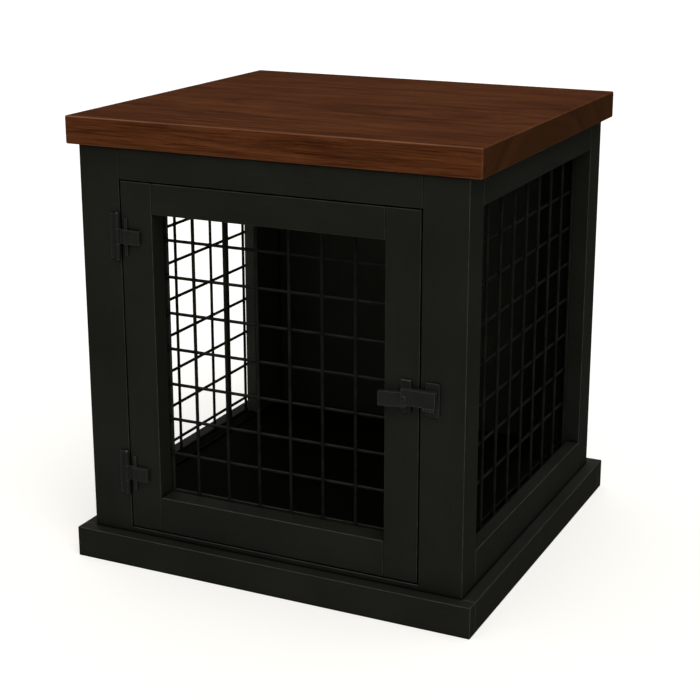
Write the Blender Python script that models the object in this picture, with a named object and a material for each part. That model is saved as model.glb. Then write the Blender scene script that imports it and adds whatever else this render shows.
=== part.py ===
"""Furniture-style dog crate: a wooden top on a painted cabinet frame, with wire mesh in the door and the sides.

Metres, +Z up. X runs from left to right, Y from the door towards the back. The origin is on the floor, under
the middle of the crate. Every piece is its own object. The door hangs on an empty on its hinge axis, and the
latch lever on an empty on its pivot.
"""

import math

import bmesh
import bpy
from mathutils import Matrix, Vector

# Driving dimensions of the cabinet.
BODY_WIDTH = 0.588
BODY_DEPTH = 0.563
BODY_HEIGHT = 0.622
TOP_THICKNESS = 0.040
TOP_SIDE_OVERHANG = 0.018
TOP_FRONT_OVERHANG = 0.006
PLINTH_THICKNESS = 0.020
PLINTH_HEIGHT = 0.046
POST_WIDTH = 0.064
POST_DEPTH = 0.050
TOP_RAIL_HEIGHT = 0.045
FRONT_RAIL_THICKNESS = 0.038
FRONT_SILL_HEIGHT = 0.054
SIDE_RAIL_THICKNESS = 0.020
SIDE_SILL_HEIGHT = 0.097
FLOOR_TOP = 0.093
FLOOR_THICKNESS = 0.012
BACK_PANEL_THICKNESS = 0.009

# Door.
DOOR_GAP = 0.002
DOOR_THICKNESS = 0.030
STILE_WIDTH = 0.050
DOOR_TOP_RAIL = 0.044
DOOR_BOTTOM_RAIL = 0.053

# Welded wire mesh, in cells a little taller than they are wide. The three panels are cut from a longer sheet, so
# each has its own first wire: (place of the first, pitch, count) of the uprights, and of the wires across them.
WIRE = 0.0046
LAYER_STEP = 0.85 * WIRE
MESH_DEPTH = WIRE + LAYER_STEP
MESH_OVERLAP = 0.010
DOOR_MESH = ((-0.1323, 0.0505, 6), (0.1665, 0.0535, 7))
LEFT_MESH = ((-0.1785, 0.0530, 8), (0.1225, 0.0577, 8))
RIGHT_MESH = ((-0.2080, 0.0530, 9), (0.1655, 0.0577, 7))

# Strips and blocks on the inside.
BATTEN_THICKNESS = 0.018
BATTEN_WIDTH = 0.018
REAR_BATTEN_WIDTH = 0.098
BATTEN_HEIGHT = 0.030
DOOR_BEAD_THICKNESS = 0.004
DOOR_BEAD_WIDTH = 0.020
STOP_THICKNESS = 0.012
STOP_LAP = 0.014
BEARER_HEIGHT = 0.030
BLOCK_SIZE = 0.038
SCREW_RADIUS = 0.0022
SCREW_HEAD_RADIUS = 0.0045
SCREW_HEAD_HEIGHT = 0.003
SCREW_BITE = 0.018

# Hinges: barrels in front of the posts' face, just beside the seam, and a thick strap on the door.
HINGE_HEIGHT = 0.065
HINGE_INSET = 0.0036
KNUCKLE_RADIUS = 0.0034
KNUCKLE_HEIGHT = 0.022
KNUCKLE_GAP = 0.0004
PIN_RADIUS = 0.0016
PIN_CLEARANCE = 0.0003
PIN_HEAD_RADIUS = 0.0027
PIN_HEAD_HEIGHT = 0.002
LEAF_THICKNESS = 0.002
LEAF_START = 0.0038
LEAF_WIDTH = 0.009
STRAP_START = 0.012
STRAP_LENGTH = 0.0235
STRAP_HEIGHT = 0.020
STRAP_THICKNESS = 0.0054
DOOR_LEAF_START = 0.0106
DOOR_LEAF_WIDTH = 0.004
DOOR_LEAF_HEIGHT = 0.053
HINGE_SHARES = {"lower": 0.166, "upper": 0.845}

# Latch: a lever on the door whose bar rests on the keeper's ledge.
LATCH_SHARE = 0.515
LATCH_PLATE_WIDTH = 0.015
LATCH_PLATE_HEIGHT = 0.046
LATCH_PLATE_THICKNESS = 0.003
LATCH_PIVOT_INSET = 0.018
LEVER_THICKNESS = 0.008
LEVER_STANDOFF = 0.0045
BAR_LENGTH = 0.0455
BAR_BELOW = 0.009
BAR_ABOVE = 0.013
GRIP_LENGTH = 0.034
GRIP_BELOW = 0.0125
GRIP_ABOVE = 0.0075
GRIP_RISE = 0.005
PIVOT_RADIUS = 0.003
PIVOT_HEAD_RADIUS = 0.0042
PIVOT_HEAD_HEIGHT = 0.0008
KEEPER_WIDTH = 0.0195
KEEPER_PAST_BAR = 0.0022
KEEPER_THICKNESS = 0.0025
LEDGE_HEIGHT = 0.0037
LEDGE_DEPTH = 0.011

# Clearances, eased edges and the facets of round pieces.
GAP = 0.0003
EASED_EDGE = 0.0008
SIDES = 16
SMALL_SIDES = 12

# Derived places.
HALF_WIDTH = BODY_WIDTH / 2
FRONT = -BODY_DEPTH / 2
BACK = BODY_DEPTH / 2
OPENING_HALF = HALF_WIDTH - POST_WIDTH
TOP_RAIL_BOTTOM = BODY_HEIGHT - TOP_RAIL_HEIGHT
DOOR_BOTTOM = FRONT_SILL_HEIGHT + DOOR_GAP
DOOR_TOP = TOP_RAIL_BOTTOM - DOOR_GAP
DOOR_HALF = OPENING_HALF - DOOR_GAP
WINDOW_HALF = DOOR_HALF - STILE_WIDTH
WINDOW_BOTTOM = DOOR_BOTTOM + DOOR_BOTTOM_RAIL
WINDOW_TOP = DOOR_TOP - DOOR_TOP_RAIL
SIDE_OPENING_FRONT = FRONT + POST_DEPTH
SIDE_OPENING_BACK = BACK - POST_DEPTH
BATTEN_OUTER = HALF_WIDTH - SIDE_RAIL_THICKNESS - MESH_DEPTH - 2 * GAP
BATTEN_INNER = BATTEN_OUTER - BATTEN_THICKNESS
DOOR_BEAD_BACK = DOOR_THICKNESS + MESH_DEPTH + 2 * GAP + DOOR_BEAD_THICKNESS
STOP_FRONT = FRONT + DOOR_BEAD_BACK + 4 * GAP
PANEL_FRONT = SIDE_OPENING_BACK - BACK_PANEL_THICKNESS - GAP
HINGE_X = -OPENING_HALF + DOOR_GAP / 2 - HINGE_INSET
HINGE_Y = FRONT - KNUCKLE_RADIUS - GAP
DOOR_MIDDLE_Z = (DOOR_BOTTOM + DOOR_TOP) / 2
LATCH_X = DOOR_HALF - LATCH_PIVOT_INSET
LATCH_Z = FRONT_SILL_HEIGHT + LATCH_SHARE * (TOP_RAIL_BOTTOM - FRONT_SILL_HEIGHT)
LEVER_BACK = FRONT - LEVER_STANDOFF
LEVER_FRONT = LEVER_BACK - LEVER_THICKNESS


def material(name, colour, roughness, metallic=0.0):
    """A Principled material of one colour."""
    made = bpy.data.materials.new(name)
    made.use_nodes = True
    shader = made.node_tree.nodes["Principled BSDF"]
    shader.inputs["Base Color"].default_value = (*colour, 1.0)
    shader.inputs["Roughness"].default_value = roughness
    shader.inputs["Metallic"].default_value = metallic
    return made


def empty(name, place, parent=None):
    """A guide that carries one moving body."""
    guide = bpy.data.objects.new(name, None)
    bpy.context.collection.objects.link(guide)
    guide.empty_display_size = 0.05
    guide.parent = parent
    guide.location = place - world_place(parent)
    return guide


def world_place(guide):
    """Where a chain of unturned empties stands."""
    place = Vector()
    while guide is not None:
        place += guide.location
        guide = guide.parent
    return place


def add_object(name, shape, place, parent, finish):
    """Turns a bmesh around its own origin into an object at a place in the world."""
    bmesh.ops.recalc_face_normals(shape, faces=shape.faces)
    mesh = bpy.data.meshes.new(name)
    shape.to_mesh(mesh)
    shape.free()
    mesh.materials.append(finish)
    made = bpy.data.objects.new(name, mesh)
    bpy.context.collection.objects.link(made)
    made.parent = parent
    made.location = Vector(place) - world_place(parent)
    return made


def add_block(shape, low, high):
    """Adds a closed block between two corners to a bmesh."""
    low, high = Vector(low), Vector(high)
    size = Matrix.Diagonal((*(high - low), 1.0))
    bmesh.ops.create_cube(shape, size=1.0, matrix=Matrix.Translation((low + high) / 2) @ size)


def add_turned(shape, profile, sides):
    """Adds a closed turned solid about Z to a bmesh, from (radius, height) points listed upwards."""
    rings = []
    for radius, height in profile:
        turn = [2 * math.pi * step / sides for step in range(sides)]
        rings.append([shape.verts.new((radius * math.cos(a), radius * math.sin(a), height)) for a in turn])
    for lower, upper in zip(rings, rings[1:]):
        for step in range(sides):
            after = (step + 1) % sides
            shape.faces.new((lower[step], lower[after], upper[after], upper[step]))
    shape.faces.new(tuple(reversed(rings[0])))
    shape.faces.new(tuple(rings[-1]))


def add_prism(shape, outline, low, high):
    """Adds an outline of (x, y) points, stretched upwards from one height to another, to a bmesh."""
    lower = [shape.verts.new((x, y, low)) for x, y in outline]
    upper = [shape.verts.new((x, y, high)) for x, y in outline]
    shape.faces.new(tuple(reversed(lower)))
    shape.faces.new(tuple(upper))
    for step in range(len(outline)):
        after = (step + 1) % len(outline)
        shape.faces.new((lower[step], lower[after], upper[after], upper[step]))


def board(name, low, high, finish, parent):
    """A straight board with eased edges, between two corners in the world."""
    low, high = Vector(low), Vector(high)
    middle = (low + high) / 2
    shape = bmesh.new()
    add_block(shape, low - middle, high - middle)
    made = add_object(name, shape, middle, parent, finish)
    ease = made.modifiers.new("eased edges", "BEVEL")
    ease.width = EASED_EDGE
    ease.segments = 1
    return made


def joined(made, shape, operation):
    """Adds a hidden tool, in the same place and frame as an object, to it or cuts it away."""
    tool = add_object(f"{made.name}_{operation.lower()}", shape, world_place(made), None, made.active_material)
    tool.hide_render = True
    tool.display_type = "WIRE"
    tool.rotation_euler = made.rotation_euler
    change = made.modifiers.new(operation.lower(), "BOOLEAN")
    change.operation = operation
    change.solver = "EXACT"
    change.object = tool
    return made


def shade_round(made):
    """Smooth shading that keeps the hard edges."""
    made.data.shade_smooth()
    made.data.set_sharp_from_angle(angle=math.radians(35))


def mirrored(side, near, far):
    """X limits of a piece between two distances from the middle, on the side -1 or 1."""
    return sorted((side * near, side * far))


def rebated_strip(name, run, section, parent, finish):
    """A strip of L section along one axis. The section's points are in the plane square to the run."""
    axis, start, end = run
    shape = bmesh.new()
    add_prism(shape, section, start, end)
    turns = {
        "X": Matrix(((0, 0, 1), (1, 0, 0), (0, 1, 0))),
        "Y": Matrix(((1, 0, 0), (0, 0, 1), (0, 1, 0))),
        "Z": Matrix.Identity(3),
    }
    bmesh.ops.transform(shape, matrix=turns[axis].to_4x4(), verts=shape.verts)
    corners = [vert.co.copy() for vert in shape.verts]
    middle = sum(corners, Vector()) / len(corners)
    bmesh.ops.translate(shape, vec=-middle, verts=shape.verts)
    return add_object(name, shape, middle, parent, finish)


def make_top(crate, wood):
    """The slab, with a blind hole for each screw that holds it."""
    low = (-HALF_WIDTH - TOP_SIDE_OVERHANG, FRONT - TOP_FRONT_OVERHANG, BODY_HEIGHT)
    high = (HALF_WIDTH + TOP_SIDE_OVERHANG, BACK, BODY_HEIGHT + TOP_THICKNESS)
    slab = board("tabletop", low, high, wood, crate)
    slab.modifiers["eased edges"].width = 2 * EASED_EDGE
    holes = bmesh.new()
    for x, y in block_places().values():
        hole = bmesh.new()
        top = BODY_HEIGHT + SCREW_BITE + 2 * GAP
        add_turned(hole, hole_profile(BODY_HEIGHT - BLOCK_SIZE, top), SMALL_SIDES)
        bmesh.ops.translate(hole, vec=Vector((x, y, 0)) - slab.location, verts=hole.verts)
        add_mesh(holes, hole)
    joined(slab, holes, "DIFFERENCE")


def add_mesh(shape, other):
    """Moves the faces of one bmesh into another."""
    mesh = bpy.data.meshes.new("moved")
    other.to_mesh(mesh)
    other.free()
    shape.from_mesh(mesh)
    bpy.data.meshes.remove(mesh)


def hole_profile(low, high):
    """A screw's clearance hole."""
    radius = SCREW_RADIUS + GAP
    return [(radius, low), (radius, high)]


def block_places():
    """Middles of the four corner blocks, which stand against the posts, the front rail and the back panel."""
    x = OPENING_HALF - GAP - BLOCK_SIZE / 2
    front = FRONT + FRONT_RAIL_THICKNESS + GAP + BLOCK_SIZE / 2
    rear = PANEL_FRONT - GAP - BLOCK_SIZE / 2
    return {
        "front_left": (-x, front),
        "front_right": (x, front),
        "rear_left": (-x, rear),
        "rear_right": (x, rear),
    }


def make_blocks(crate, wood, metal):
    """Corner blocks under the top, each with the screw that goes up through it."""
    top = BODY_HEIGHT - GAP
    half = BLOCK_SIZE / 2
    for place, (x, y) in block_places().items():
        low = (x - half, y - half, top - BLOCK_SIZE)
        high = (x + half, y + half, top)
        block = board(f"{place}_corner_block", low, high, wood, crate)
        hole = bmesh.new()
        add_turned(hole, hole_profile(-BLOCK_SIZE, BLOCK_SIZE), SMALL_SIDES)
        joined(block, hole, "DIFFERENCE")
        shank = bmesh.new()
        seat = top - BLOCK_SIZE - GAP
        profile = [
            (SCREW_HEAD_RADIUS, seat - SCREW_HEAD_HEIGHT),
            (SCREW_HEAD_RADIUS, seat),
            (SCREW_RADIUS, seat),
            (SCREW_RADIUS, BODY_HEIGHT + 0.7 * SCREW_BITE),
            (0.3 * SCREW_RADIUS, BODY_HEIGHT + SCREW_BITE),
        ]
        add_turned(shank, [(radius, height - seat) for radius, height in profile], SMALL_SIDES)
        shade_round(add_object(f"{place}_top_screw", shank, (x, y, seat), crate, metal))


def make_posts(crate, paint):
    """Four posts that stand on the floor at the corners."""
    for side, side_name in ((-1, "left"), (1, "right")):
        x = mirrored(side, OPENING_HALF, HALF_WIDTH)
        for end_name, y in (("front", (FRONT, SIDE_OPENING_FRONT)), ("rear", (SIDE_OPENING_BACK, BACK))):
            low, high = (x[0], y[0], 0), (x[1], y[1], BODY_HEIGHT - GAP)
            board(f"{end_name}_{side_name}_post", low, high, paint, crate)


def make_cross_rails(crate, paint):
    """Front and rear rails, between the posts."""
    half = OPENING_HALF - GAP
    top = BODY_HEIGHT - GAP
    front_rail_back = FRONT + FRONT_RAIL_THICKNESS
    sill_back = FRONT + DOOR_THICKNESS
    board("front_top_rail", (-half, FRONT, TOP_RAIL_BOTTOM), (half, front_rail_back, top), paint, crate)
    board("front_bottom_rail", (-half, FRONT, 0), (half, sill_back, FRONT_SILL_HEIGHT), paint, crate)
    board("rear_top_rail", (-half, SIDE_OPENING_BACK, TOP_RAIL_BOTTOM), (half, BACK, top), paint, crate)
    board("rear_bottom_rail", (-half, SIDE_OPENING_BACK, 0), (half, BACK, SIDE_SILL_HEIGHT), paint, crate)


def make_side_rails(crate, paint):
    """Top and bottom rails of the two sides."""
    y = (SIDE_OPENING_FRONT + GAP, SIDE_OPENING_BACK - GAP)
    for side, name in ((-1, "left"), (1, "right")):
        x = mirrored(side, HALF_WIDTH - SIDE_RAIL_THICKNESS, HALF_WIDTH)
        top_low, top_high = (x[0], y[0], TOP_RAIL_BOTTOM), (x[1], y[1], BODY_HEIGHT - GAP)
        board(f"{name}_top_rail", top_low, top_high, paint, crate)
        board(f"{name}_bottom_rail", (x[0], y[0], 0), (x[1], y[1], SIDE_SILL_HEIGHT), paint, crate)


def make_plinth(crate, paint):
    """Boards round the foot. The front and rear ones cover the ends of the side ones."""
    near, far = HALF_WIDTH + GAP, HALF_WIDTH + PLINTH_THICKNESS
    for name, y in (("front", mirrored(-1, BACK + GAP, BACK + PLINTH_THICKNESS)),
                    ("rear", mirrored(1, BACK + GAP, BACK + PLINTH_THICKNESS))):
        board(f"plinth_{name}", (-far, y[0], 0), (far, y[1], PLINTH_HEIGHT), paint, crate)
    for side, name in ((-1, "left"), (1, "right")):
        x = mirrored(side, near, far)
        board(f"plinth_{name}", (x[0], FRONT, 0), (x[1], BACK, PLINTH_HEIGHT), paint, crate)


def make_panels(crate, paint):
    """The back panel in front of the rear posts, the floor, and the bearers it lies on."""
    half = BATTEN_INNER - GAP
    back_low = (-half, PANEL_FRONT, FLOOR_TOP + GAP)
    back_high = (half, SIDE_OPENING_BACK - GAP, BODY_HEIGHT - GAP)
    board("back_panel", back_low, back_high, paint, crate)
    floor_front = STOP_FRONT + STOP_THICKNESS + GAP
    floor_bottom = FLOOR_TOP - FLOOR_THICKNESS
    floor_high = (half, SIDE_OPENING_BACK - GAP, FLOOR_TOP)
    board("floor_panel", (-half, floor_front, floor_bottom), floor_high, paint, crate)
    bearer_top = floor_bottom - GAP
    for side, name in ((-1, "left"), (1, "right")):
        x = mirrored(side, half - BATTEN_THICKNESS, half)
        low = (x[0], floor_front, bearer_top - BEARER_HEIGHT)
        high = (x[1], SIDE_OPENING_BACK - GAP, bearer_top)
        board(f"{name}_floor_bearer", low, high, paint, crate)
    stop_half = OPENING_HALF - GAP
    stop_low = (-stop_half, STOP_FRONT, FRONT_SILL_HEIGHT - STOP_LAP)
    board("door_stop", stop_low, (stop_half, STOP_FRONT + STOP_THICKNESS, FLOOR_TOP), paint, crate)


def wire_places(first, pitch, count):
    """Places of evenly spaced wires."""
    return [first + step * pitch for step in range(count)]


def wire_panel(name, uprights, levels, half_width, bottom, top, place, turn, parent, finish):
    """Welded mesh in its own XZ plane: upright wires on the near side, wires across them behind. The uprights'
    places are across the panel from its middle, and the levels are heights above the floor."""
    middle = (bottom + top) / 2
    half_height = (top - bottom) / 2
    columns = bmesh.new()
    for x in uprights:
        add_block(columns, (x - WIRE / 2, 0, -half_height), (x + WIRE / 2, WIRE, half_height))
    made = add_object(name, columns, (place[0], place[1], middle), parent, finish)
    made.rotation_euler = (0, 0, turn)
    rows = bmesh.new()
    for level in levels:
        z = level - middle
        add_block(rows, (-half_width, LAYER_STEP, z - WIRE / 2), (half_width, MESH_DEPTH, z + WIRE / 2))
    return joined(made, rows, "UNION")


def make_side_meshes(crate, metal):
    """A mesh on the inside of each side's rails."""
    half = (SIDE_OPENING_BACK - SIDE_OPENING_FRONT) / 2 - GAP
    bottom, top = SIDE_SILL_HEIGHT - MESH_OVERLAP, TOP_RAIL_BOTTOM + MESH_OVERLAP
    for side, name, (uprights, levels) in ((-1, "left", LEFT_MESH), (1, "right", RIGHT_MESH)):
        place = (side * (HALF_WIDTH - SIDE_RAIL_THICKNESS - GAP), 0)
        turn = side * math.pi / 2
        columns = [side * y for y in wire_places(*uprights)]
        rows = wire_places(*levels)
        wire_panel(f"{name}_mesh", columns, rows, half, bottom, top, place, turn, crate, metal)


def make_battens(crate, paint):
    """Strips that hold each side's mesh from the inside, the long ones rebated over it."""
    rail_face = HALF_WIDTH - SIDE_RAIL_THICKNESS - GAP
    lap = MESH_OVERLAP + GAP
    levels = {
        "top": (TOP_RAIL_BOTTOM, TOP_RAIL_BOTTOM + lap, TOP_RAIL_BOTTOM + BATTEN_HEIGHT),
        "bottom": (SIDE_SILL_HEIGHT, SIDE_SILL_HEIGHT - lap, SIDE_SILL_HEIGHT - BATTEN_HEIGHT),
    }
    run = ("Y", SIDE_OPENING_FRONT + GAP, SIDE_OPENING_BACK - GAP)
    uprights = {
        "front": (SIDE_OPENING_FRONT + GAP, SIDE_OPENING_FRONT + BATTEN_WIDTH),
        "rear": (SIDE_OPENING_BACK - REAR_BATTEN_WIDTH, SIDE_OPENING_BACK - GAP),
    }
    for side, side_name in ((-1, "left"), (1, "right")):
        for name, (edge, step, end) in levels.items():
            section = [
                (side * BATTEN_INNER, edge),
                (side * BATTEN_OUTER, edge),
                (side * BATTEN_OUTER, step),
                (side * rail_face, step),
                (side * rail_face, end),
                (side * BATTEN_INNER, end),
            ]
            rebated_strip(f"{side_name}_{name}_batten", run, section, crate, paint)
        x = mirrored(side, BATTEN_INNER, BATTEN_OUTER)
        for name, y in uprights.items():
            low, high = (x[0], y[0], SIDE_SILL_HEIGHT + GAP), (x[1], y[1], TOP_RAIL_BOTTOM - GAP)
            board(f"{side_name}_{name}_batten", low, high, paint, crate)


def make_door_frame(door, paint):
    """Full-height stiles with the rails between them."""
    y = (FRONT, FRONT + DOOR_THICKNESS)
    for side, name in ((-1, "hinge"), (1, "latch")):
        x = mirrored(side, WINDOW_HALF, DOOR_HALF)
        board(f"door_{name}_stile", (x[0], y[0], DOOR_BOTTOM), (x[1], y[1], DOOR_TOP), paint, door)
    half = WINDOW_HALF - GAP
    board("door_top_rail", (-half, y[0], WINDOW_TOP), (half, y[1], DOOR_TOP), paint, door)
    board("door_bottom_rail", (-half, y[0], DOOR_BOTTOM), (half, y[1], WINDOW_BOTTOM), paint, door)


def make_door_mesh(door, metal, paint):
    """The mesh on the back of the door, with the rebated beads that clamp its edges."""
    frame_back = FRONT + DOOR_THICKNESS + GAP
    bottom, top = WINDOW_BOTTOM - MESH_OVERLAP, WINDOW_TOP + MESH_OVERLAP
    half = WINDOW_HALF + MESH_OVERLAP
    uprights, levels = (wire_places(*wires) for wires in DOOR_MESH)
    wire_panel("door_mesh", uprights, levels, half, bottom, top, (0, frame_back), 0, door, metal)
    mesh_back = frame_back + MESH_DEPTH + GAP
    bead_back = FRONT + DOOR_BEAD_BACK
    lap = MESH_OVERLAP + GAP

    def bead_section(edge, outward):
        """Points of the bead's L, from the window's edge outwards."""
        step, end = edge + outward * lap, edge + outward * DOOR_BEAD_WIDTH
        near_edge = edge + outward * GAP
        return [
            (mesh_back, near_edge), (mesh_back, step), (frame_back, step),
            (frame_back, end), (bead_back, end), (bead_back, near_edge),
        ]

    for name, edge, outward in (("top", WINDOW_TOP, 1), ("bottom", WINDOW_BOTTOM, -1)):
        run = ("X", -half + lap + GAP, half - lap - GAP)
        rebated_strip(f"door_{name}_bead", run, bead_section(edge, outward), door, paint)
    for name, side in (("hinge", -1), ("latch", 1)):
        section = [(x, y) for y, x in bead_section(side * WINDOW_HALF, side)]
        run = ("Z", WINDOW_BOTTOM - DOOR_BEAD_WIDTH, WINDOW_TOP + DOOR_BEAD_WIDTH)
        rebated_strip(f"door_{name}_bead", run, section, door, paint)


def make_hinge(height_name, middle, crate, door, metal):
    """Two leaves whose knuckles turn on one pin. Leaves and pin are drawn around the middle of the pin."""
    place = Vector((HINGE_X, HINGE_Y, middle))
    face = FRONT - GAP - HINGE_Y
    bore = PIN_RADIUS + PIN_CLEARANCE
    half = HINGE_HEIGHT / 2
    inner = KNUCKLE_HEIGHT / 2
    web = bore + GAP

    post_leaf = bmesh.new()
    add_block(post_leaf, (-LEAF_START - LEAF_WIDTH, face - LEAF_THICKNESS, -half), (-LEAF_START, face, half))
    leaf = add_object(f"{height_name}_hinge_post_leaf", post_leaf, place, crate, metal)
    for low, high in ((-half, -inner - KNUCKLE_GAP), (inner + KNUCKLE_GAP, half)):
        knuckle = bmesh.new()
        add_turned(knuckle, [(KNUCKLE_RADIUS, low), (KNUCKLE_RADIUS, high)], SIDES)
        joined(leaf, knuckle, "UNION")
        arm = bmesh.new()
        add_block(arm, (-LEAF_START - web, face - LEAF_THICKNESS + GAP / 4, low), (-web, face - GAP / 4, high))
        joined(leaf, arm, "UNION")
    cut_bore(leaf, bore, half)

    door_leaf = bmesh.new()
    strap_far = (STRAP_START + STRAP_LENGTH, face, STRAP_HEIGHT / 2)
    add_block(door_leaf, (STRAP_START, face - STRAP_THICKNESS, -STRAP_HEIGHT / 2), strap_far)
    leaf = add_object(f"{height_name}_hinge_door_leaf", door_leaf, place, door, metal)
    plate = bmesh.new()
    plate_far = (DOOR_LEAF_START + DOOR_LEAF_WIDTH, face, DOOR_LEAF_HEIGHT / 2)
    add_block(plate, (DOOR_LEAF_START, face - LEAF_THICKNESS, -DOOR_LEAF_HEIGHT / 2), plate_far)
    joined(leaf, plate, "UNION")
    knuckle = bmesh.new()
    add_turned(knuckle, [(KNUCKLE_RADIUS, -inner), (KNUCKLE_RADIUS, inner)], SIDES)
    joined(leaf, knuckle, "UNION")
    arm = bmesh.new()
    arm_far = (DOOR_LEAF_START + web, face - GAP / 4, inner - GAP)
    add_block(arm, (web, face - LEAF_THICKNESS + GAP / 4, -inner + GAP), arm_far)
    joined(leaf, arm, "UNION")
    cut_bore(leaf, bore, half)

    pin = bmesh.new()
    end = half + GAP
    profile = [
        (0.6 * PIN_HEAD_RADIUS, -end - PIN_HEAD_HEIGHT), (PIN_HEAD_RADIUS, -end - PIN_HEAD_HEIGHT / 2),
        (PIN_HEAD_RADIUS, -end), (PIN_RADIUS, -end), (PIN_RADIUS, end), (PIN_HEAD_RADIUS, end),
        (PIN_HEAD_RADIUS, end + PIN_HEAD_HEIGHT / 2), (0.6 * PIN_HEAD_RADIUS, end + PIN_HEAD_HEIGHT),
    ]
    add_turned(pin, profile, SMALL_SIDES)
    shade_round(add_object(f"{height_name}_hinge_pin", pin, place, crate, metal))


def cut_bore(leaf, radius, half):
    """Cuts the pin's hole through every knuckle of a leaf."""
    hole = bmesh.new()
    add_turned(hole, [(radius, -2 * half), (radius, 2 * half)], SIDES)
    joined(leaf, hole, "DIFFERENCE")


def make_latch(crate, door, lever_guide, metal):
    """Plate and pivot on the door, the lever, and the keeper on the post."""
    half = LATCH_PLATE_HEIGHT / 2
    plate_low = (LATCH_X - LATCH_PLATE_WIDTH / 2, FRONT - GAP - LATCH_PLATE_THICKNESS, LATCH_Z - half)
    plate_high = (LATCH_X + LATCH_PLATE_WIDTH / 2, FRONT - GAP, LATCH_Z + half)
    board("latch_plate", plate_low, plate_high, metal, door)

    along_y = Matrix.Rotation(math.pi / 2, 4, "X")
    pin_start = GAP + LATCH_PLATE_THICKNESS + GAP
    pin_end = LEVER_STANDOFF + LEVER_THICKNESS + GAP
    pin = bmesh.new()
    profile = [
        (PIVOT_RADIUS, pin_start), (PIVOT_RADIUS, pin_end), (PIVOT_HEAD_RADIUS, pin_end),
        (PIVOT_HEAD_RADIUS, pin_end + PIVOT_HEAD_HEIGHT / 2),
        (0.7 * PIVOT_HEAD_RADIUS, pin_end + PIVOT_HEAD_HEIGHT),
    ]
    add_turned(pin, profile, SIDES)
    bmesh.ops.transform(pin, matrix=along_y, verts=pin.verts)
    shade_round(add_object("latch_pivot_pin", pin, (LATCH_X, FRONT, LATCH_Z), door, metal))

    back, front = -LEVER_STANDOFF, -LEVER_STANDOFF - LEVER_THICKNESS
    grip_step = 0.3 * GRIP_LENGTH
    grip_knee = 0.5 * GRIP_LENGTH
    grip_outline = [
        (PIVOT_RADIUS, back), (PIVOT_RADIUS, front), (-grip_step, front),
        (-grip_knee, front - GRIP_RISE / 2), (-GRIP_LENGTH, front - GRIP_RISE),
        (-GRIP_LENGTH, front + GRIP_RISE / 5), (-grip_knee, front + GRIP_RISE / 2), (-grip_step, back),
    ]
    grip = bmesh.new()
    add_prism(grip, grip_outline, -GRIP_BELOW, GRIP_ABOVE)
    lever = add_object("latch_lever", grip, (LATCH_X, FRONT, LATCH_Z), lever_guide, metal)
    bar = bmesh.new()
    add_block(bar, (-PIVOT_RADIUS, front - GAP, -BAR_BELOW), (BAR_LENGTH, back + GAP, BAR_ABOVE))
    joined(lever, bar, "UNION")
    bore = bmesh.new()
    radius = PIVOT_RADIUS + PIN_CLEARANCE
    add_turned(bore, [(radius, 0), (radius, 3 * LEVER_THICKNESS)], SIDES)
    bmesh.ops.transform(bore, matrix=along_y, verts=bore.verts)
    joined(lever, bore, "DIFFERENCE")

    ledge_top = LATCH_Z - BAR_BELOW - GAP
    keeper_far = LATCH_X + BAR_LENGTH + KEEPER_PAST_BAR
    middle = Vector((keeper_far - KEEPER_WIDTH / 2, FRONT - GAP, LATCH_Z))
    plate = bmesh.new()
    add_block(plate, (-KEEPER_WIDTH / 2, -KEEPER_THICKNESS, -half), (KEEPER_WIDTH / 2, 0, half))
    keeper = add_object("latch_keeper", plate, middle, crate, metal)
    ledge = bmesh.new()
    ledge_low = (-KEEPER_WIDTH / 2 + GAP, -KEEPER_THICKNESS - LEDGE_DEPTH, ledge_top - LEDGE_HEIGHT - LATCH_Z)
    add_block(ledge, ledge_low, (KEEPER_WIDTH / 3, -KEEPER_THICKNESS / 2, ledge_top - LATCH_Z))
    joined(keeper, ledge, "UNION")


def main():
    for old in list(bpy.data.objects):
        bpy.data.objects.remove(old)
    wood = material("stained_wood", (0.094, 0.029, 0.013), 0.35)
    paint = material("black_paint", (0.011, 0.011, 0.010), 0.45)
    metal = material("black_metal", (0.012, 0.012, 0.011), 0.40, 0.3)

    crate = empty("crate", Vector())
    door = empty("door_axis", Vector((HINGE_X, HINGE_Y, DOOR_MIDDLE_Z)), crate)
    lever_guide = empty("latch_axis", Vector((LATCH_X, LEVER_FRONT / 2 + LEVER_BACK / 2, LATCH_Z)), door)

    make_top(crate, wood)
    make_posts(crate, paint)
    make_cross_rails(crate, paint)
    make_side_rails(crate, paint)
    make_plinth(crate, paint)
    make_panels(crate, paint)
    make_side_meshes(crate, metal)
    make_battens(crate, paint)
    make_blocks(crate, paint, metal)
    make_door_frame(door, paint)
    make_door_mesh(door, metal, paint)
    for height_name, share in HINGE_SHARES.items():
        middle = FRONT_SILL_HEIGHT + share * (TOP_RAIL_BOTTOM - FRONT_SILL_HEIGHT)
        make_hinge(height_name, middle, crate, door, metal)
    make_latch(crate, door, lever_guide, metal)


main()
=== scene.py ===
"""Looks of the furniture-style dog crate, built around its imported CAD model.

Metres, +Z up, in the CAD's frame: X runs from left to right, Y from the door towards the back. Every piece is
drawn in that frame with its object at the origin, so a material's object coordinates are places on the crate.
"""

import math

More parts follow.
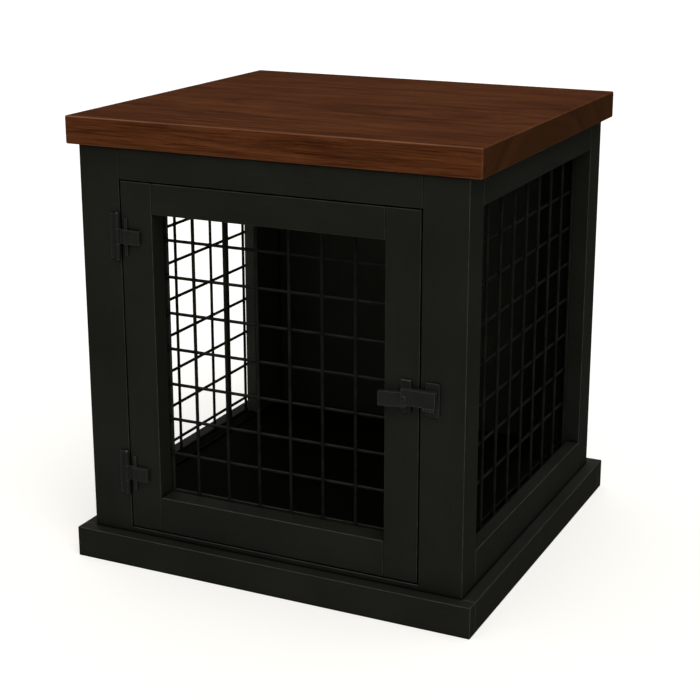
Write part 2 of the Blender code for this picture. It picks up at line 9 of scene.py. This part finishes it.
import bmesh
import bpy
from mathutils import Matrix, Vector


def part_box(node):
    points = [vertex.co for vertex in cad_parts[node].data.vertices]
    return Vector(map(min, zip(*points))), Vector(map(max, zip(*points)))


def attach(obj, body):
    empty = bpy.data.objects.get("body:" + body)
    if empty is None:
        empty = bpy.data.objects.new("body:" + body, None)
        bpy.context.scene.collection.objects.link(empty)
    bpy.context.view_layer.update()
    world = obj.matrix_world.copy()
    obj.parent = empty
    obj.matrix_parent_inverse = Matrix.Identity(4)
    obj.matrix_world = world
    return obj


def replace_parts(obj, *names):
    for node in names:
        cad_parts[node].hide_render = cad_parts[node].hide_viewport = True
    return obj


# Camera.
CAMERA_PLACE = (0.982, -2.0764, 0.9918)
CAMERA_AZIMUTH = math.radians(25.46)
CAMERA_ELEVATION = math.radians(15.68)
CAMERA_LENS = 80.25
CAMERA_SHIFT = -0.06
SENSOR = 36.0

# Stage and light. The dome is dark up to one height of the sky and bright from another, as shares of the zenith's.
FLOOR_HALF = 40.0
FLOOR_CELLS = 8
FLOOR_COLOUR = (0.72, 0.695, 0.640)
FLOOR_ROUGHNESS = 0.9
FLOOR_GLOW = 0.44
WHITE = (1.0, 1.0, 1.0, 1.0)
DOME_DARK = 0.03
DOME_BRIGHT = 1.45
DOME_START = 0.45
DOME_FULL = 0.95
KEY_AZIMUTH = math.radians(42)
KEY_ELEVATION = math.radians(44)
KEY_STRENGTH = 1.1
KEY_SPREAD = math.radians(50)

# Welded wire, round, with a slight swelling of the coating at each weld. Each panel, as in the CAD, has its own
# (place of the first, pitch, count) of the uprights, and of the wires across them.
DOOR_MESH = ((-0.1323, 0.0505, 6), (0.1665, 0.0535, 7))
LEFT_MESH = ((-0.1785, 0.0530, 8), (0.1225, 0.0577, 8))
RIGHT_MESH = ((-0.2080, 0.0530, 9), (0.1655, 0.0577, 7))
WIRE_RADIUS = 0.0023
WIRE_END_EASE = 0.4 * WIRE_RADIUS
WIRE_SIDES = 12
LAYER_STEP = 0.85 * 2 * WIRE_RADIUS
WELD_SWELL = 1.10
WELD_SHOULDER = (1 + WELD_SWELL) / 2
WELD_REACH = 0.0030

# Distance from a weld as a share of its reach, and the wire's radius there as a share of its own.
WELD_PROFILE = ((-1.0, 1.0), (-0.5, WELD_SHOULDER), (0.0, WELD_SWELL), (0.5, WELD_SHOULDER), (1.0, 1.0))

# Rounding of the CAD's edges, by kind of piece: width and segments.
BOARD_ROUND = (0.0009, 3)
TOP_ROUND = (0.0014, 4)
METAL_ROUND = (0.0005, 2)
WELD_DISTANCE = 0.00001
ROUND_FROM = math.radians(25)
NORMAL_WEIGHT = 90
SHARP_FROM = math.radians(35)

# Boards inside the cabin whose paint is flatter than the outside's and lighter, as painted light, and boards there
# that are painted almost black, as painted shade.
INNER_NODES = ("back_panel", "left_floor_bearer", "right_floor_bearer", "door_stop")
PAINTED_SHADE_NODES = ("floor_panel", "left_bottom_batten", "right_bottom_batten", "right_top_batten", "right_front_batten",
              "right_rear_batten")

# Colours, linear.
PAINT = (0.0118, 0.0124, 0.0080)
# Lighter edges of the paint: partly wear, partly painted highlight.
PAINT_WEAR_AND_HIGHLIGHT = (0.0480, 0.0490, 0.0380)
# Painted shade in joints, corners and beside the hardware.
CREVICE_SHADE = (0.0016, 0.0017, 0.0010)
# Lighter copies of the paint, as painted light, for the boards inside the cabin and the battens; and a near-black
# copy as painted shade.
INNER_PAINT_LIT = (0.0160, 0.0168, 0.0100)
BATTEN_PAINT_LIT = (0.0350, 0.0365, 0.0250)
PAINTED_SHADE_BLACK = (0.0024, 0.0026, 0.0012)
METAL_BLACK = (0.0122, 0.0126, 0.0098)
# Lighter edges of the hardware: partly wear, partly painted highlight.
METAL_WEAR_AND_HIGHLIGHT = (0.066, 0.066, 0.056)
WIRE_BLACK = (0.0068, 0.0071, 0.0048)
WOOD_DARK = (0.032, 0.0080, 0.0020)
WOOD_MIDDLE = (0.078, 0.0228, 0.0068)
WOOD_LIGHT = (0.120, 0.0390, 0.0120)
# Lighter edges of the wood: partly wear, partly painted highlight.
WOOD_WEAR_AND_HIGHLIGHT = (0.200, 0.0850, 0.0450)
END_GRAIN = (0.0165, 0.0088, 0.0020)
ZINC = (0.42, 0.43, 0.45)

# Kinds of paint: colour, specular level, and whether the boards are battens, with painted shade on their broad
# faces. The outer colour is the paint's own; the inner and batten ones are lighter copies as painted light, and the
# dark one is painted shade.
PAINT_KINDS = {
    "outer": (PAINT, 0.22, False),
    "inner": (INNER_PAINT_LIT, 0.12, False),
    "batten": (BATTEN_PAINT_LIT, 0.15, True),
    "dark": (PAINTED_SHADE_BLACK, 0.02, False),
}
WIRE_SPECULAR = 0.22
METAL_SPECULAR = 0.6
WOOD_SPECULAR = 0.03

# Scales of the noises, in features per metre: (along the grain, across it), or the same every way.
PAINT_GRAIN = (9, 420)
PAINT_BRUSH = (22, 1500)
PAINT_CLOUDS = 7
PAINT_PEEL = 520
PAINT_WEAR_AND_HIGHLIGHT_PATCHES = 60
WIRE_CLOUDS = 40
WIRE_PEEL = 1400
METAL_CLOUDS = 90
METAL_GRIT = 900
METAL_HAMMER = 210
METAL_WEAR_AND_HIGHLIGHT_PATCHES = 300
ZINC_CLOUDS = 400
WOOD_WANDER = (1.1, 5)
WOOD_RINGS = (4.5, 150)
WOOD_STREAKS = (13, 480)
WOOD_LINES = (6, 230)
WOOD_LINES_PLACE = (3, 1, 2)
WOOD_PORES = (38, 900)
WOOD_CLOUDS = (4, 14)
WOOD_WEAR_AND_HIGHLIGHT_PATCHES = (12, 60)

# The tree's pith lies below the top, and the rings about it wander by this much.
PITH_HEIGHT = 0.40
RING_WANDER = 0.10

# Limits that noise is stretched from: most of what it gives, and nearly all of it.
MOST = (0.35, 0.65)
NEARLY_ALL = (0.30, 0.70)
WHOLE = (0.0, 1.0)


def add_node(tree, kind, inputs=None, **properties):
    """A shader node. Each input is a plain value, or an output socket that it is linked from."""
    node = tree.nodes.new(f"ShaderNode{kind}")
    for name, value in properties.items():
        setattr(node, name, value)
    for key, value in (inputs or {}).items():
        if isinstance(value, bpy.types.NodeSocket):
            tree.links.new(value, node.inputs[key])
        else:
            node.inputs[key].default_value = value
    return node


def calculate(tree, operation, *values, clamp=False):
    """Output of a maths node."""
    return add_node(tree, "Math", dict(enumerate(values)), operation=operation, use_clamp=clamp).outputs[0]


def remap(tree, value, source, target, kind="SMOOTHSTEP"):
    """Output of a map range node, from one pair of limits to another."""
    limits = {"Value": value, "From Min": source[0], "From Max": source[1], "To Min": target[0], "To Max": target[1]}
    return add_node(tree, "MapRange", limits, interpolation_type=kind).outputs["Result"]


def mix_colour(tree, factor, first, second):
    """Output of a colour mix. First and second are linear colours or sockets."""
    colours = [c if isinstance(c, bpy.types.NodeSocket) else (*c, 1.0) for c in (first, second)]
    inputs = {0: factor, 6: colours[0], 7: colours[1]}
    return add_node(tree, "Mix", inputs, data_type="RGBA").outputs[2]


def shade_of(colour, share):
    """A lighter or darker shade of a colour."""
    return tuple(share * part for part in colour)


def object_place(tree):
    """Places on the crate."""
    return add_node(tree, "TexCoord").outputs["Object"]


def object_normal(tree):
    """The three parts of the normal, in the piece's own axes."""
    return add_node(tree, "SeparateXYZ", {0: add_node(tree, "TexCoord").outputs["Normal"]}).outputs


def even(tree, scale):
    """Places on the crate, multiplied by one number."""
    return add_node(tree, "Mapping", {"Vector": object_place(tree), "Scale": (scale, scale, scale)}).outputs[0]


def along_grain(tree, axis, scales, offset=(0, 0, 0)):
    """Places on the crate, multiplied by one number along the grain's axis and by another across it."""
    along, across = scales
    scale = tuple(along if name == axis else across for name in "XYZ")
    return add_node(tree, "Mapping", {"Vector": object_place(tree), "Scale": scale, "Location": offset}).outputs[0]


def noise(tree, vector, detail, roughness, distortion=0.0):
    """Output of a noise texture, from about 0.3 to 0.7."""
    inputs = {"Vector": vector, "Scale": 1.0, "Detail": detail, "Roughness": roughness, "Distortion": distortion}
    return add_node(tree, "TexNoise", inputs).outputs["Fac"]


def principled(name):
    """A material with its node tree and its Principled shader."""
    made = bpy.data.materials.new(name)
    made.use_nodes = True
    return made, made.node_tree, made.node_tree.nodes["Principled BSDF"]


def bump(tree, shader, *layers):
    """Chains bump nodes from (height, depth in metres) layers into the shader's normal."""
    normal = None
    for height, depth in layers:
        inputs = {"Height": height, "Distance": depth, "Strength": 1.0}
        if normal is not None:
            inputs["Normal"] = normal
        normal = add_node(tree, "Bump", inputs).outputs["Normal"]
    tree.links.new(normal, shader.inputs["Normal"])


def broken_up(tree, mask, vector, least):
    """A mask that a noise thins out in patches, down to a least share."""
    patches = remap(tree, noise(tree, vector, 4.0, 0.6), (0.42, 0.62), (least, 1.0))
    return calculate(tree, "MULTIPLY", mask, patches, clamp=True)


def board_edges(tree, vector, least):
    """1 on a board's rounded edges, whose normals lie between its axes, and 0 on its faces."""
    parts = [calculate(tree, "ABSOLUTE", part) for part in object_normal(tree)]
    largest = calculate(tree, "MAXIMUM", calculate(tree, "MAXIMUM", parts[0], parts[1]), parts[2])
    return broken_up(tree, remap(tree, largest, (0.97, 0.82), WHOLE), vector, least)


def front_edge(tree, elsewhere):
    """1 on the edge between the top and the front, and a smaller share elsewhere."""
    parts = object_normal(tree)
    forward = calculate(tree, "MULTIPLY", parts["Y"], -1.0)
    return remap(tree, calculate(tree, "MINIMUM", forward, parts["Z"]), (0.10, 0.35), (elsewhere, 1.0))


def metal_edges(tree, radius, vector, least):
    """1 beside the edges of a metal piece, where wear and a painted highlight lighten it, and 0 elsewhere."""
    rounded = add_node(tree, "Bevel", {"Radius": radius}, samples=4).outputs["Normal"]
    normal = add_node(tree, "NewGeometry").outputs["Normal"]
    agreement = add_node(tree, "VectorMath", {0: rounded, 1: normal}, operation="DOT_PRODUCT").outputs["Value"]
    return broken_up(tree, remap(tree, agreement, (0.995, 0.90), WHOLE), vector, least)


def crevice_shade_mask(tree, reach):
    """1 deep in joints and corners and 0 on open faces: where painted shade goes."""
    open_share = add_node(tree, "AmbientOcclusion", {"Distance": reach}, samples=8).outputs["AO"]
    return remap(tree, open_share, (0.93, 0.40), WHOLE)


def faces_aside(tree, inward):
    """1 on faces that look out through the side meshes, a smaller share on those that look in, and 0 elsewhere:
    where the battens get painted shade.
    """
    turned = object_normal(tree)["X"]
    side = calculate(tree, "SIGN", add_node(tree, "SeparateXYZ", {0: object_place(tree)}).outputs["X"])
    turned_out = calculate(tree, "MULTIPLY", turned, side)
    outer_faces = remap(tree, turned_out, (0.5, 0.9), WHOLE)
    inner_faces = remap(tree, turned_out, (-0.5, -0.9), (0.0, inward))
    return calculate(tree, "ADD", outer_faces, inner_faces)


def painted_wood(name, axis, paint, specular, is_batten):
    """Satin black paint, brushed along the board, with the wood's grain just showing through; its edges are lighter,
    partly wear and partly painted highlight, and its joints hold painted shade.
    """
    made, tree, shader = principled(name)
    grain = noise(tree, along_grain(tree, axis, PAINT_GRAIN), 4.0, 0.6, 0.4)
    brush = noise(tree, along_grain(tree, axis, PAINT_BRUSH), 2.0, 0.5)
    clouds = noise(tree, even(tree, PAINT_CLOUDS), 4.0, 0.55)
    peel = noise(tree, even(tree, PAINT_PEEL), 1.0, 0.4)
    tone = calculate(tree, "MULTIPLY_ADD", grain, 0.35, calculate(tree, "MULTIPLY", clouds, 0.65))
    body = mix_colour(tree, remap(tree, tone, (0.36, 0.64), WHOLE), shade_of(paint, 0.88), shade_of(paint, 1.12))
    # Lighter edges: partly wear, partly painted highlight.
    wear_and_highlight = board_edges(tree, even(tree, PAINT_WEAR_AND_HIGHLIGHT_PATCHES), 0.45)
    colour = mix_colour(tree, calculate(tree, "MULTIPLY", wear_and_highlight, 0.8), body, PAINT_WEAR_AND_HIGHLIGHT)
    # Painted shade in joints, corners and beside the hardware.
    colour = mix_colour(tree, crevice_shade_mask(tree, 0.007), colour, CREVICE_SHADE)
    # Painted shade on the battens' broad faces, full on those that look out through the side meshes and less on
    # those that look in.
    if is_batten:
        colour = mix_colour(tree, faces_aside(tree, 0.6), colour, PAINTED_SHADE_BLACK)
    tree.links.new(colour, shader.inputs["Base Color"])
    gloss = calculate(tree, "MULTIPLY_ADD", brush, 0.16, remap(tree, clouds, MOST, (0.34, 0.44)))
    tree.links.new(gloss, shader.inputs["Roughness"])
    shader.inputs["Specular IOR Level"].default_value = specular
    bump(tree, shader, (grain, 0.00022), (brush, 0.00005), (peel, 0.00004))
    return made


def painted_woods():
    """The painted materials, by kind of paint and by the axis that the boards' grain runs along."""
    return {
        (kind, axis): painted_wood(f"{kind} paint {axis}", axis, *look)
        for kind, look in PAINT_KINDS.items()
        for axis in "XYZ"
    }


def powder_coat():
    """Black powder coating on the welded wire."""
    made, tree, shader = principled("black powder coat")
    clouds = noise(tree, even(tree, WIRE_CLOUDS), 3.0, 0.5)
    peel = noise(tree, even(tree, WIRE_PEEL), 2.0, 0.5)
    dark = shade_of(WIRE_BLACK, 0.75)
    light = shade_of(WIRE_BLACK, 1.35)
    tree.links.new(mix_colour(tree, remap(tree, clouds, MOST, WHOLE), dark, light), shader.inputs["Base Color"])
    tree.links.new(remap(tree, peel, NEARLY_ALL, (0.34, 0.50)), shader.inputs["Roughness"])
    shader.inputs["Specular IOR Level"].default_value = WIRE_SPECULAR
    bump(tree, shader, (peel, 0.00006))
    return made


def black_hardware():
    """Forged-look black steel of the hinges and the latch, lighter along its edges, partly wear and partly painted
    highlight.
    """
    made, tree, shader = principled("black hardware")
    clouds = noise(tree, even(tree, METAL_CLOUDS), 4.0, 0.6)
    grit = noise(tree, even(tree, METAL_GRIT), 3.0, 0.6)
    hammer = noise(tree, even(tree, METAL_HAMMER), 1.0, 0.5)
    dark = shade_of(METAL_BLACK, 0.88)
    light = shade_of(METAL_BLACK, 1.15)
    body = mix_colour(tree, remap(tree, clouds, MOST, WHOLE), dark, light)
    # Lighter edges: partly wear, partly painted highlight.
    wear_and_highlight = metal_edges(tree, 0.0016, even(tree, METAL_WEAR_AND_HIGHLIGHT_PATCHES), 0.5)
    tree.links.new(mix_colour(tree, wear_and_highlight, body, METAL_WEAR_AND_HIGHLIGHT), shader.inputs["Base Color"])
    tree.links.new(remap(tree, grit, NEARLY_ALL, (0.28, 0.42)), shader.inputs["Roughness"])
    shader.inputs["Specular IOR Level"].default_value = METAL_SPECULAR
    bump(tree, shader, (hammer, 0.00009), (grit, 0.00004))
    return made


def zinc_plate():
    """Bright zinc plating of the screws under the top."""
    made, tree, shader = principled("zinc plate")
    clouds = noise(tree, even(tree, ZINC_CLOUDS), 3.0, 0.6)
    body = mix_colour(tree, remap(tree, clouds, MOST, WHOLE), shade_of(ZINC, 0.7), ZINC)
    tree.links.new(body, shader.inputs["Base Color"])
    shader.inputs["Metallic"].default_value = 1.0
    tree.links.new(remap(tree, clouds, NEARLY_ALL, (0.25, 0.45)), shader.inputs["Roughness"])
    bump(tree, shader, (clouds, 0.00003))
    return made


def growth_rings(tree):
    """Noise along the rings about a pith that runs along X below the top, from about 0.3 to 0.7."""
    wander = noise(tree, along_grain(tree, "X", WOOD_WANDER), 3.0, 0.5)
    place = add_node(tree, "SeparateXYZ", {0: object_place(tree)}).outputs
    across = calculate(tree, "MULTIPLY_ADD", wander, RING_WANDER, place["Y"])
    above = calculate(tree, "ADD", place["Z"], -PITH_HEIGHT)
    square = calculate(tree, "ADD", calculate(tree, "MULTIPLY", across, across),
                       calculate(tree, "MULTIPLY", above, above))
    radius = calculate(tree, "SQRT", square)
    along_scale, radius_scale = WOOD_RINGS
    vector = add_node(tree, "CombineXYZ", {"X": calculate(tree, "MULTIPLY", place["X"], along_scale),
                                           "Y": calculate(tree, "MULTIPLY", radius, radius_scale)}).outputs[0]
    return noise(tree, vector, 5.0, 0.75, 0.5)


def wood_ramp(tree, factor):
    """Colour of the wood, from dark over middle to light."""
    ramp = add_node(tree, "ValToRGB", {"Fac": factor})
    stops = ramp.color_ramp.elements
    stops[0].position, stops[0].color = 0.0, (*WOOD_DARK, 1.0)
    stops[1].position, stops[1].color = 1.0, (*WOOD_LIGHT, 1.0)
    stops.new(0.5).color = (*WOOD_MIDDLE, 1.0)
    return ramp.outputs["Color"]


def stained_wood():
    """Walnut-stained solid wood, its grain running along X, under a thin satin lacquer."""
    made, tree, shader = principled("stained wood")
    streaks = noise(tree, along_grain(tree, "X", WOOD_STREAKS), 4.0, 0.7, 0.3)
    lines = noise(tree, along_grain(tree, "X", WOOD_LINES, WOOD_LINES_PLACE), 3.0, 0.7, 0.6)
    pores = noise(tree, along_grain(tree, "X", WOOD_PORES), 2.0, 0.5)
    clouds = noise(tree, along_grain(tree, "X", WOOD_CLOUDS), 3.0, 0.5)
    tone = calculate(tree, "MULTIPLY_ADD", growth_rings(tree), 0.45, calculate(tree, "MULTIPLY", streaks, 0.40))
    tone = calculate(tree, "MULTIPLY_ADD", clouds, 0.15, tone)
    colour = wood_ramp(tree, remap(tree, tone, (0.39, 0.61), WHOLE, "LINEAR"))
    late_wood = remap(tree, lines, (0.56, 0.68), (0.0, 0.75))
    colour = mix_colour(tree, late_wood, colour, WOOD_DARK)
    open_pores = remap(tree, pores, (0.60, 0.70), (0.0, 0.6))
    colour = mix_colour(tree, open_pores, colour, WOOD_DARK)
    end_face = calculate(tree, "ABSOLUTE", object_normal(tree)["X"])
    colour = mix_colour(tree, remap(tree, end_face, (0.6, 0.95), (0.0, 0.6)), colour, END_GRAIN)
    # Lighter edges, strongest between the top and the front: partly wear, partly painted highlight.
    wear_and_highlight = board_edges(tree, along_grain(tree, "X", WOOD_WEAR_AND_HIGHLIGHT_PATCHES), 0.55)
    wear_and_highlight = calculate(tree, "MULTIPLY", wear_and_highlight, front_edge(tree, 0.25))
    colour = mix_colour(tree, calculate(tree, "MULTIPLY", wear_and_highlight, 0.9), colour, WOOD_WEAR_AND_HIGHLIGHT)
    tree.links.new(colour, shader.inputs["Base Color"])
    gloss = calculate(tree, "MULTIPLY_ADD", streaks, 0.14, remap(tree, clouds, NEARLY_ALL, (0.30, 0.40)))
    tree.links.new(calculate(tree, "MULTIPLY_ADD", open_pores, 0.2, gloss), shader.inputs["Roughness"])
    shader.inputs["Specular IOR Level"].default_value = WOOD_SPECULAR
    bump(tree, shader, (streaks, 0.00012), (pores, 0.00006))
    return made


def round_edges(obj, width, segments):
    """Rounds a CAD node's edges with modifiers, and evens out its shading."""
    weld = obj.modifiers.new("weld", "WELD")
    weld.merge_threshold = WELD_DISTANCE
    bevel = obj.modifiers.new("rounding", "BEVEL")
    bevel.width = width
    bevel.segments = segments
    bevel.limit_method = "ANGLE"
    bevel.angle_limit = ROUND_FROM
    shade = obj.modifiers.new("shading", "WEIGHTED_NORMAL")
    shade.weight = NORMAL_WEIGHT


def finish_node(obj, finish):
    """Gives a CAD node one material."""
    obj.data.materials.clear()
    obj.data.materials.append(finish)


def add_piece(name, shape, body, finish):
    """Turns a bmesh into a piece of the visual model, riding on a CAD body."""
    bmesh.ops.recalc_face_normals(shape, faces=shape.faces)
    mesh = bpy.data.meshes.new(name)
    shape.to_mesh(mesh)
    shape.free()
    mesh.materials.append(finish)
    mesh.shade_smooth()
    mesh.set_sharp_from_angle(angle=SHARP_FROM)
    made = bpy.data.objects.new(name, mesh)
    bpy.context.scene.collection.objects.link(made)
    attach(made, body)
    return made


def add_rod(shape, start, end, stations):
    """Adds a closed round rod to a bmesh. Each station is a distance from the start and a radius there."""
    run = (end - start).normalized()
    side = run.orthogonal().normalized()
    other = run.cross(side)
    turns = [2 * math.pi * (step + 0.5) / WIRE_SIDES for step in range(WIRE_SIDES)]
    rings = []
    for along, radius in stations:
        middle = start + along * run
        ring = [shape.verts.new(middle + radius * (math.cos(a) * side + math.sin(a) * other)) for a in turns]
        rings.append(ring)
    for lower, upper in zip(rings, rings[1:]):
        for step in range(WIRE_SIDES):
            after = (step + 1) % WIRE_SIDES
            shape.faces.new((lower[step], lower[after], upper[after], upper[step]))
    shape.faces.new(tuple(reversed(rings[0])))
    shape.faces.new(tuple(rings[-1]))


def wire_stations(length, crossings):
    """Radii along a wire: eased ends, and a swelling at each weld."""
    end_radius = WIRE_RADIUS - WIRE_END_EASE
    stations = [(0.0, end_radius), (WIRE_END_EASE, WIRE_RADIUS)]
    for crossing in crossings:
        for reach, share in WELD_PROFILE:
            stations.append((crossing + reach * WELD_REACH, share * WIRE_RADIUS))
    stations += [(length - WIRE_END_EASE, WIRE_RADIUS), (length, end_radius)]
    return stations


def wire_places(first, pitch, count):
    """Places of evenly spaced wires."""
    return [first + step * pitch for step in range(count)]


def add_wire_mesh(node, body, run, depth, wires, finish):
    """Round welded wire in place of a CAD mesh. Run is the number of the axis along its width; depth is +1 or -1,
    from the upright wires to the ones across them, along the other flat axis."""
    low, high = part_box(node)
    across = 1 - run
    columns, rows = (wire_places(*row) for row in wires)
    near = low[across] if depth > 0 else high[across]
    upright_layer = near + depth * WIRE_RADIUS
    cross_layer = upright_layer + depth * LAYER_STEP
    shape = bmesh.new()

    def point(width, layer, height):
        place = Vector((0, 0, height))
        place[run] = width
        place[across] = layer
        return place

    for width in columns:
        stations = wire_stations(high.z - low.z, [row - low.z for row in rows])
        add_rod(shape, point(width, upright_layer, low.z), point(width, upright_layer, high.z), stations)
    for row in rows:
        stations = wire_stations(high[run] - low[run], [column - low[run] for column in columns])
        add_rod(shape, point(low[run], cross_layer, row), point(high[run], cross_layer, row), stations)
    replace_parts(add_piece(f"{node}_wires", shape, body, finish), node)


def add_wire_meshes(finish):
    """The meshes of the two sides and of the door."""
    add_wire_mesh("left_mesh", "carcass", 1, 1, LEFT_MESH, finish)
    add_wire_mesh("right_mesh", "carcass", 1, -1, RIGHT_MESH, finish)
    add_wire_mesh("door_mesh", "door", 0, 1, DOOR_MESH, finish)


def long_axis(node):
    """The axis that a board's grain runs along."""
    low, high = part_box(node)
    size = high - low
    return "XYZ"[max(range(3), key=lambda axis: size[axis])]


def paint_kind(name):
    """Which paint a board wears: the outer paint, or a copy of it lightened as painted light or blackened as painted
    shade.
    """
    if name in PAINTED_SHADE_NODES:
        return "dark"
    if name.endswith("_batten"):
        return "batten"
    return "inner" if name in INNER_NODES else "outer"


def is_hardware(name):
    """Whether a node belongs to the hinges or the latch."""
    return name.startswith(("upper_hinge_", "lower_hinge_", "latch_"))


def dress_nodes(frame, wood, paints, hardware, zinc):
    """Rounded edges and a material for every CAD node that stays. Paints are keyed by kind and by axis."""
    for name, obj in frame["nodes"].items():
        if name == "tabletop":
            round_edges(obj, *TOP_ROUND)
            finish_node(obj, wood)
        elif name.endswith("_top_screw"):
            finish_node(obj, zinc)
        elif is_hardware(name):
            round_edges(obj, *METAL_ROUND)
            finish_node(obj, hardware)
        elif not name.endswith("_mesh"):
            round_edges(obj, *BOARD_ROUND)
            finish_node(obj, paints[paint_kind(name), long_axis(name)])


def make_floor():
    """A plain pale floor. It lights the crate from below, but isn't mirrored in it."""
    shape = bmesh.new()
    bmesh.ops.create_grid(shape, x_segments=FLOOR_CELLS, y_segments=FLOOR_CELLS, size=FLOOR_HALF)
    mesh = bpy.data.meshes.new("floor")
    shape.to_mesh(mesh)
    shape.free()
    made, _, shader = principled("pale floor")
    shader.inputs["Base Color"].default_value = (*FLOOR_COLOUR, 1.0)
    shader.inputs["Roughness"].default_value = FLOOR_ROUGHNESS
    shader.inputs["Specular IOR Level"].default_value = 0.0
    shader.inputs["Emission Color"].default_value = WHITE
    shader.inputs["Emission Strength"].default_value = FLOOR_GLOW
    mesh.materials.append(made)
    floor = bpy.data.objects.new("floor", mesh)
    bpy.context.scene.collection.objects.link(floor)
    floor.visible_glossy = False


def make_world():
    """A white backdrop, and for everything else a soft dome that is bright overhead and dark at the horizon."""
    world = bpy.data.worlds.new("studio")
    world.use_nodes = True
    bpy.context.scene.world = world
    tree = world.node_tree
    tree.nodes.clear()
    direction = add_node(tree, "TexCoord").outputs["Generated"]
    height = add_node(tree, "SeparateXYZ", {0: direction}).outputs["Z"]
    strength = remap(tree, height, (DOME_START, DOME_FULL), (DOME_DARK, DOME_BRIGHT))
    dome = add_node(tree, "Background", {"Color": WHITE, "Strength": strength}).outputs[0]
    backdrop = add_node(tree, "Background", {"Color": WHITE, "Strength": 1.0}).outputs[0]
    seen = add_node(tree, "LightPath").outputs["Is Camera Ray"]
    shown = add_node(tree, "MixShader", {0: seen, 1: dome, 2: backdrop}).outputs[0]
    add_node(tree, "OutputWorld", {"Surface": shown})


def facing(azimuth, elevation):
    """The direction from the crate towards a camera or a lamp."""
    flat = math.cos(elevation)
    return Vector((math.sin(azimuth) * flat, -math.cos(azimuth) * flat, math.sin(elevation)))


def add_aimed(name, data, azimuth, elevation):
    """A camera or a lamp that looks at the crate from a direction."""
    made = bpy.data.objects.new(name, data)
    bpy.context.scene.collection.objects.link(made)
    made.rotation_mode = "QUATERNION"
    made.rotation_quaternion = (-facing(azimuth, elevation)).to_track_quat("-Z", "Y")
    return made


def make_key():
    """A broad soft sun from the front right."""
    data = bpy.data.lights.new("key", "SUN")
    data.energy = KEY_STRENGTH
    data.angle = KEY_SPREAD
    add_aimed("key", data, KEY_AZIMUTH, KEY_ELEVATION)


def make_camera():
    """The camera at the photograph's viewing angle."""
    data = bpy.data.cameras.new("camera")
    data.lens = CAMERA_LENS
    data.sensor_width = SENSOR
    data.shift_y = CAMERA_SHIFT
    camera = add_aimed("camera", data, CAMERA_AZIMUTH, CAMERA_ELEVATION)
    camera.location = CAMERA_PLACE
    bpy.context.scene.camera = camera


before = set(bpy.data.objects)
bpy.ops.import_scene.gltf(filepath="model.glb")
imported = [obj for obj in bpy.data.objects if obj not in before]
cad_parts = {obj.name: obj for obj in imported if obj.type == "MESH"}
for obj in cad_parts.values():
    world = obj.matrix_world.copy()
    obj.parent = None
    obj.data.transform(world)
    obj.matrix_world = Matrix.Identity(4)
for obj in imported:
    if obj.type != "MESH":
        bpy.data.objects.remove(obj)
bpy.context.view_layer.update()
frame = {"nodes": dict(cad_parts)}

make_camera()
make_world()
make_key()
make_floor()
bpy.context.scene.view_settings.view_transform = "Standard"

dress_nodes(frame, stained_wood(), painted_woods(), black_hardware(), zinc_plate())
add_wire_meshes(powder_coat())
